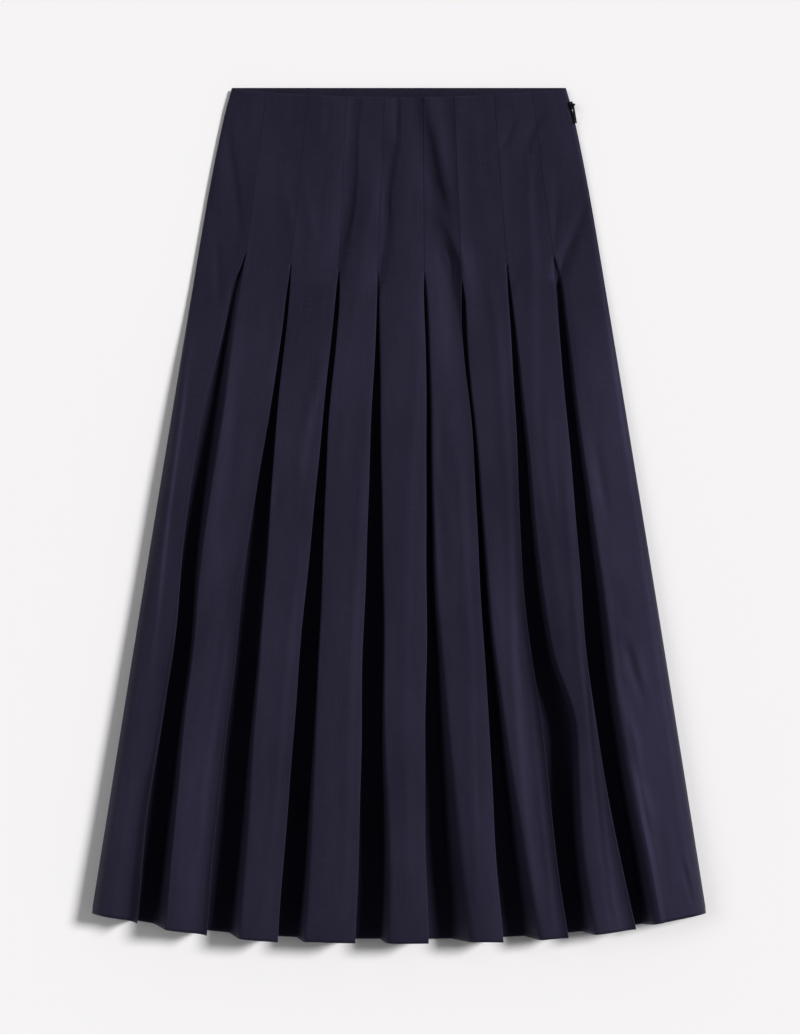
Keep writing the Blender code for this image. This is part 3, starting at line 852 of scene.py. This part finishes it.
back_x, back_down = flat_grid(BACK_ROWS, BACK_COLUMNS, 0.0, back_hem, 0.0)
groove_width = GROOVE_WIDTH + GROOVE_WIDENS * ease((back_down - BACK_HIP_DOWN) / WIDENS_OVER)
groove_open = GROOVE_AT_HIP + (1 - GROOVE_AT_HIP) * ease((back_down - BACK_HIP_DOWN) / OPENS_OVER)
groove_depth = BACK_PLEAT_DEPTH * groove_open
back_z = np.zeros_like(back_x)
for pleat_x in BACK_PLEAT_X:
    line_x = pleat_x * (side_x(back_down) / side_x(0))
    back_z += groove_depth * np.exp(-(((back_x - line_x) / groove_width) ** 2))
back = cloth_sheet("skirt_back", back_x, back_down, back_z, CLOTH, face_up=False)

facing_x, facing_down = flat_grid(FACING_ROWS, FACING_COLUMNS, SEAM_GAP, facing_edge, FACING_INSET)
facing_z = np.full_like(facing_x, WALL + SEAM_GAP + FACING_WALL)
facing_z -= UNDERSTITCH_DEPTH * np.exp(-(((facing_down - UNDERSTITCH_DOWN) / UNDERSTITCH_WIDTH) ** 2))
facing = cloth_sheet("waist_facing", facing_x, facing_down, facing_z, FACING_CLOTH)

# %% [markdown]
# Taffeta is a plain weave of fine threads with small thick places, called slubs, that run with the
# thread. Threads are about 0.35 mm apart, far below a pixel here, so what shows from a step away is the
# slubs: faint streaks across and down the cloth. The group below gives a height for the bump and a tone
# for the colour.

# %% The weave as a node group
THREAD = 0.00035
RIB_HEIGHT = 0.12
WEFT_SCALE = (60, 1000, 1)
WARP_SCALE = (850, 20, 1)
NOISE_DETAIL = 3.0


def new_group(name, inputs, outputs):
    """Return an empty shader group with its sockets, and its input and output nodes."""
    group = bpy.data.node_groups.new(name, "ShaderNodeTree")
    for socket, kind, value in inputs:
        made = group.interface.new_socket(name=socket, in_out="INPUT", socket_type=kind)
        if value is not None:
            made.default_value = value
    for socket, kind in outputs:
        group.interface.new_socket(name=socket, in_out="OUTPUT", socket_type=kind)
    return group, group.nodes.new("NodeGroupInput"), group.nodes.new("NodeGroupOutput")


def math_node(tree, operation, first, second):
    """Add a maths node; each side is a number or a socket to join."""
    node = tree.nodes.new("ShaderNodeMath")
    node.operation = operation
    for socket, value in zip(node.inputs, (first, second)):
        if isinstance(value, (int, float)):
            socket.default_value = value
        else:
            tree.links.new(value, socket)
    return node.outputs["Value"]


def streaks(tree, place, scale):
    """Add noise stretched along one thread direction."""
    stretch = tree.nodes.new("ShaderNodeMapping")
    stretch.inputs["Scale"].default_value = scale
    tree.links.new(place, stretch.inputs["Vector"])
    noise = tree.nodes.new("ShaderNodeTexNoise")
    noise.inputs["Scale"].default_value = 1.0
    noise.inputs["Detail"].default_value = NOISE_DETAIL
    tree.links.new(stretch.outputs["Vector"], noise.inputs["Vector"])
    return noise.outputs["Fac"]


def thread_wave(tree, place, direction, thread):
    """Add the fine ribs of one set of threads."""
    split = tree.nodes.new("ShaderNodeSeparateXYZ")
    tree.links.new(place, split.inputs["Vector"])
    turns = math_node(tree, "MULTIPLY", split.outputs[direction], 2 * math.pi / thread)
    return math_node(tree, "SINE", turns, 0.0)


weave, weave_in, weave_out = new_group(
    "Taffeta weave",
    [("Place", "NodeSocketVector", None), ("Slub", "NodeSocketFloat", 1.0)],
    [("Height", "NodeSocketFloat"), ("Tone", "NodeSocketFloat")],
)
weft = streaks(weave, weave_in.outputs["Place"], WEFT_SCALE)
warp = streaks(weave, weave_in.outputs["Place"], WARP_SCALE)
slub = math_node(weave, "ADD", weft, warp)
ribs = math_node(
    weave, "MULTIPLY",
    thread_wave(weave, weave_in.outputs["Place"], "X", THREAD),
    thread_wave(weave, weave_in.outputs["Place"], "Y", THREAD),
)
slub_height = math_node(weave, "MULTIPLY", slub, weave_in.outputs["Slub"])
height = math_node(weave, "ADD", slub_height, math_node(weave, "MULTIPLY", ribs, RIB_HEIGHT))
weave.links.new(height, weave_out.inputs["Height"])
tone = math_node(weave, "MULTIPLY", math_node(weave, "SUBTRACT", slub, 1.0), weave_in.outputs["Slub"])
weave.links.new(tone, weave_out.inputs["Tone"])
print("weave nodes", len(weave.nodes))

# %% [markdown]
# Handling leaves a length of taffeta slightly uneven: broad soft patches a touch lighter or duller. A
# second group makes that mask. Every cloth in the skirt uses both groups, with its own slubs, colours
# and bump.

# %% Broad uneven sheen as a node group
PATCH_SCALE = (14, 6, 1)
patches, patches_in, patches_out = new_group(
    "Uneven sheen",
    [("Place", "NodeSocketVector", None)],
    [("Mask", "NodeSocketFloat")],
)
patch_mask = streaks(patches, patches_in.outputs["Place"], PATCH_SCALE)
patches.links.new(patch_mask, patches_out.inputs["Mask"])
print("uneven sheen nodes", len(patches.nodes))


def add_group(tree, group):
    """Place a node group in a material."""
    node = tree.nodes.new("ShaderNodeGroup")
    node.node_tree = group
    return node


def colour_mix(tree, factor, first, second):
    """Mix two fixed colours by a factor socket."""
    mix = tree.nodes.new("ShaderNodeMix")
    mix.data_type = "RGBA"
    mix.inputs["A"].default_value = (*first, 1.0)
    mix.inputs["B"].default_value = (*second, 1.0)
    tree.links.new(factor, mix.inputs["Factor"])
    return mix.outputs["Result"]


def span(tree, value, low, high, to_low, to_high):
    """Map a socket's range onto another range."""
    node = tree.nodes.new("ShaderNodeMapRange")
    for name, number in zip(("From Min", "From Max", "To Min", "To Max"), (low, high, to_low, to_high)):
        node.inputs[name].default_value = number
    tree.links.new(value, node.inputs["Value"])
    return node.outputs["Result"]


# %% [markdown]
# The cloth itself is a Principled shader: a very dark violet navy, half rough, with a sheen for the light
# that fine threads catch at a grazing angle. The two groups vary its colour and roughness and give the
# bump. The yoke's colour is painted a touch darker near the waist as painted shade, fading out below the
# hip.

# %% Cloth materials
BROAD_TONE = 0.8
SLUB_TONE = 0.36
# Painted shade: how much darker the yoke's colour is painted, and over which distance down it fades out.
PAINTED_YOKE_SHADE = 0.16
PAINTED_SHADE_DOWN = (0.12, 0.30)
TONE_SPREAD = 0.3
ROUGHNESS_SPREAD = 0.06
RELIEF_DISTANCE = 0.00012
SHEEN = 0.03
SHEEN_ROUGHNESS = 0.45
SHEEN_TINT = (0.62, 0.52, 0.95, 1.0)
SHINE = 0.13
SHINE_TINT = (0.55, 0.45, 1.0, 1.0)


def cloth_material(name, deep, pale, roughness, slub, bump):
    """Return a woven cloth material."""
    material = bpy.data.materials.new(name)
    material.use_nodes = True
    tree = material.node_tree
    shader = tree.nodes["Principled BSDF"]
    place = tree.nodes.new("ShaderNodeUVMap")
    place.uv_map = "cloth"
    threads = add_group(tree, weave)
    threads.inputs["Slub"].default_value = slub
    broad = add_group(tree, patches)
    tree.links.new(place.outputs["UV"], threads.inputs["Place"])
    tree.links.new(place.outputs["UV"], broad.inputs["Place"])
    split = tree.nodes.new("ShaderNodeSeparateXYZ")
    tree.links.new(place.outputs["UV"], split.inputs["Vector"])
    # Painted shade: the colour is darkened near the waist and fades out below the hip.
    painted_shade = span(tree, split.outputs["Y"], *PAINTED_SHADE_DOWN, -PAINTED_YOKE_SHADE, 0.0)
    uneven = math_node(tree, "MULTIPLY", broad.outputs["Mask"], BROAD_TONE)
    slubs = math_node(tree, "MULTIPLY", threads.outputs["Tone"], SLUB_TONE)
    mixed = math_node(tree, "ADD", math_node(tree, "ADD", uneven, slubs), painted_shade)
    mixed = span(tree, mixed, 0.5 * BROAD_TONE - TONE_SPREAD, 0.5 * BROAD_TONE + TONE_SPREAD, 0.0, 1.0)
    tree.links.new(colour_mix(tree, mixed, deep, pale), shader.inputs["Base Color"])
    gloss = span(tree, mixed, 0.0, 1.0, roughness + ROUGHNESS_SPREAD, roughness - ROUGHNESS_SPREAD)
    tree.links.new(gloss, shader.inputs["Roughness"])
    relief = tree.nodes.new("ShaderNodeBump")
    relief.inputs["Strength"].default_value = bump
    relief.inputs["Distance"].default_value = RELIEF_DISTANCE
    tree.links.new(threads.outputs["Height"], relief.inputs["Height"])
    tree.links.new(relief.outputs["Normal"], shader.inputs["Normal"])
    shader.inputs["Sheen Weight"].default_value = SHEEN
    shader.inputs["Sheen Roughness"].default_value = SHEEN_ROUGHNESS
    shader.inputs["Sheen Tint"].default_value = SHEEN_TINT
    shader.inputs["Specular IOR Level"].default_value = SHINE
    shader.inputs["Specular Tint"].default_value = SHINE_TINT
    return material


navy = cloth_material(
    "navy taffeta", deep=(0.0092, 0.0085, 0.0155), pale=(0.0214, 0.0192, 0.0355),
    roughness=0.55, slub=1.0, bump=0.6,
)
facing_navy = cloth_material(
    "facing taffeta", deep=(0.0090, 0.0084, 0.0150), pale=(0.0190, 0.0172, 0.0300),
    roughness=0.6, slub=1.0, bump=0.4,
)
front.data.materials.append(navy)
back.data.materials.append(navy)
facing.data.materials.append(facing_navy)
print("cloths:", navy.name, "and", facing_navy.name)

# %% [markdown]
# The sewing shows only faintly. Each pleat is sewn shut from the waist to its opening, so the thread
# glints between the two folds as a dotted line, and a row of understitching holds the facing flat inside
# the waist. A stitch is a short thread that is thicker in its middle, where it lies free, than at its
# ends. We walk along each line and set one down every few millimetres, each a little longer or shorter
# than the last.

# %% Stitches
STITCH_LENGTH = 1.9
STITCH_STEP = 2.8
STITCH_RINGS = ((0.0, 0.5), (0.3, 1.0), (0.7, 1.0), (1.0, 0.5))
STITCH_SIDES = 5
SEAM_THREAD = (0.1, 0.1)
FACING_THREAD = (0.28, 0.12)
SEAM_SINK = 0.22
BESIDE_SEAM = 2
FACING_THREAD_LIFT = 0.05
SEWN_FROM = -0.985
STITCH_UNEVEN = 0.15
STITCH_PHASE = 2.1


def stitch_row(line, thread, points, faces, places):
    """Add a row of stitches along a line of (x, down, z) places to the lists of a mesh."""
    steps = np.linalg.norm(np.diff(line, axis=0), axis=1)
    along = np.concatenate(((0,), np.cumsum(steps)))
    for number in range(int((along[-1] - 2 * STITCH_STEP) / STITCH_STEP)):
        uneven = STITCH_UNEVEN * math.sin(number * STITCH_PHASE)
        start = STITCH_STEP * (number + 1) + uneven
        ends = [np.array([np.interp(start + reach, along, line[:, axis]) for axis in range(3)])
                for reach in (0, STITCH_LENGTH - uneven)]
        direction = (ends[1] - ends[0]) / np.linalg.norm(ends[1] - ends[0])
        sideways = np.array((direction[1], -direction[0], 0.0))
        first = len(points)
        for share, swell in STITCH_RINGS:
            centre = ends[0] + share * (ends[1] - ends[0])
            for side in range(STITCH_SIDES):
                turn = 2 * math.pi * side / STITCH_SIDES
                place = centre + sideways * thread[0] * swell * math.cos(turn)
                place = place + np.array((0, 0, thread[1] * swell * math.sin(turn)))
                points.append((place[0] * MM, (LENGTH / 2 - place[1]) * MM, place[2] * MM))
                places.append(((place[0] + place[2]) * MM, place[1] * MM))
        for ring in range(len(STITCH_RINGS) - 1):
            for side in range(STITCH_SIDES):
                here = first + ring * STITCH_SIDES + side
                beside = first + ring * STITCH_SIDES + (side + 1) % STITCH_SIDES
                faces.append((here, beside, beside + STITCH_SIDES, here + STITCH_SIDES))
        last = first + (len(STITCH_RINGS) - 1) * STITCH_SIDES
        faces.append(tuple(range(first + STITCH_SIDES - 1, first - 1, -1)))
        faces.append(tuple(range(last, last + STITCH_SIDES)))


stitch_points, stitch_faces, stitch_places = [], [], []
sewn = (shares > SEWN_FROM) & (shares <= 0.0)
for middle in pleat_middles:
    seam_top = front_z[sewn, middle + BESIDE_SEAM] - SEAM_SINK
    seam_line = np.stack((front_x[sewn, middle], front_down[sewn, middle], seam_top), axis=-1)
    stitch_row(seam_line, SEAM_THREAD, stitch_points, stitch_faces, stitch_places)
row = int(np.argmin(np.abs(facing_down[:, 0] - UNDERSTITCH_DOWN)))
facing_line = np.stack((facing_x[row], facing_down[row], facing_z[row] + FACING_THREAD_LIFT), axis=-1)
stitch_row(facing_line, FACING_THREAD, stitch_points, stitch_faces, stitch_places)

stitch_mesh = bpy.data.meshes.new("stitches")
stitch_mesh.from_pydata(stitch_points, [], stitch_faces)
add_cloth_map(stitch_mesh, stitch_places)
stitch_mesh.shade_smooth()
stitches = add_object("stitches", stitch_mesh)
navy_thread = cloth_material(
    "navy thread", deep=(0.0080, 0.0074, 0.0135), pale=(0.0180, 0.0162, 0.0300),
    roughness=0.5, slub=1.0, bump=0.6,
)
stitches.data.materials.append(navy_thread)
print("stitches", len(stitch_points) // (len(STITCH_RINGS) * STITCH_SIDES))

# %% [markdown]
# The zip closes the right side seam and is concealed, so only the slider's pull shows: a small black
# enamelled tab. The solids have the right shape, so they stay, and get a dull black enamel whose gloss
# is finely uneven.

# %% The zip's enamel
ENAMEL_GRAIN = (900, 900, 900)
ENAMEL_DEEP = (0.003, 0.003, 0.004)
ENAMEL_PALE = (0.008, 0.008, 0.009)
ENAMEL_MASK = (0.3, 0.7)
ENAMEL_ROUGHNESS = (0.6, 0.75)
ENAMEL_SHINE = 0.06

enamel = bpy.data.materials.new("black enamel")
enamel.use_nodes = True
enamel_tree = enamel.node_tree
enamel_shader = enamel_tree.nodes["Principled BSDF"]
enamel_place = enamel_tree.nodes.new("ShaderNodeTexCoord")
enamel_mask = streaks(enamel_tree, enamel_place.outputs["Object"], ENAMEL_GRAIN)
enamel_colour = colour_mix(enamel_tree, enamel_mask, ENAMEL_DEEP, ENAMEL_PALE)
enamel_gloss = span(enamel_tree, enamel_mask, *ENAMEL_MASK, *ENAMEL_ROUGHNESS)
enamel_tree.links.new(enamel_colour, enamel_shader.inputs["Base Color"])
enamel_tree.links.new(enamel_gloss, enamel_shader.inputs["Roughness"])
enamel_shader.inputs["Specular IOR Level"].default_value = ENAMEL_SHINE
for node in ("zip_slider", "zip_pull"):
    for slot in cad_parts[node].material_slots:
        slot.material = enamel
    print(node, "is finished in", enamel.name)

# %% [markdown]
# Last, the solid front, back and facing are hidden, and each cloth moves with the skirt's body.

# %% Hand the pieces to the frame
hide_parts("front")
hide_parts("back")
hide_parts("back_facing")
for piece in (front, back, facing, stitches):
    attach(piece, "skirt")
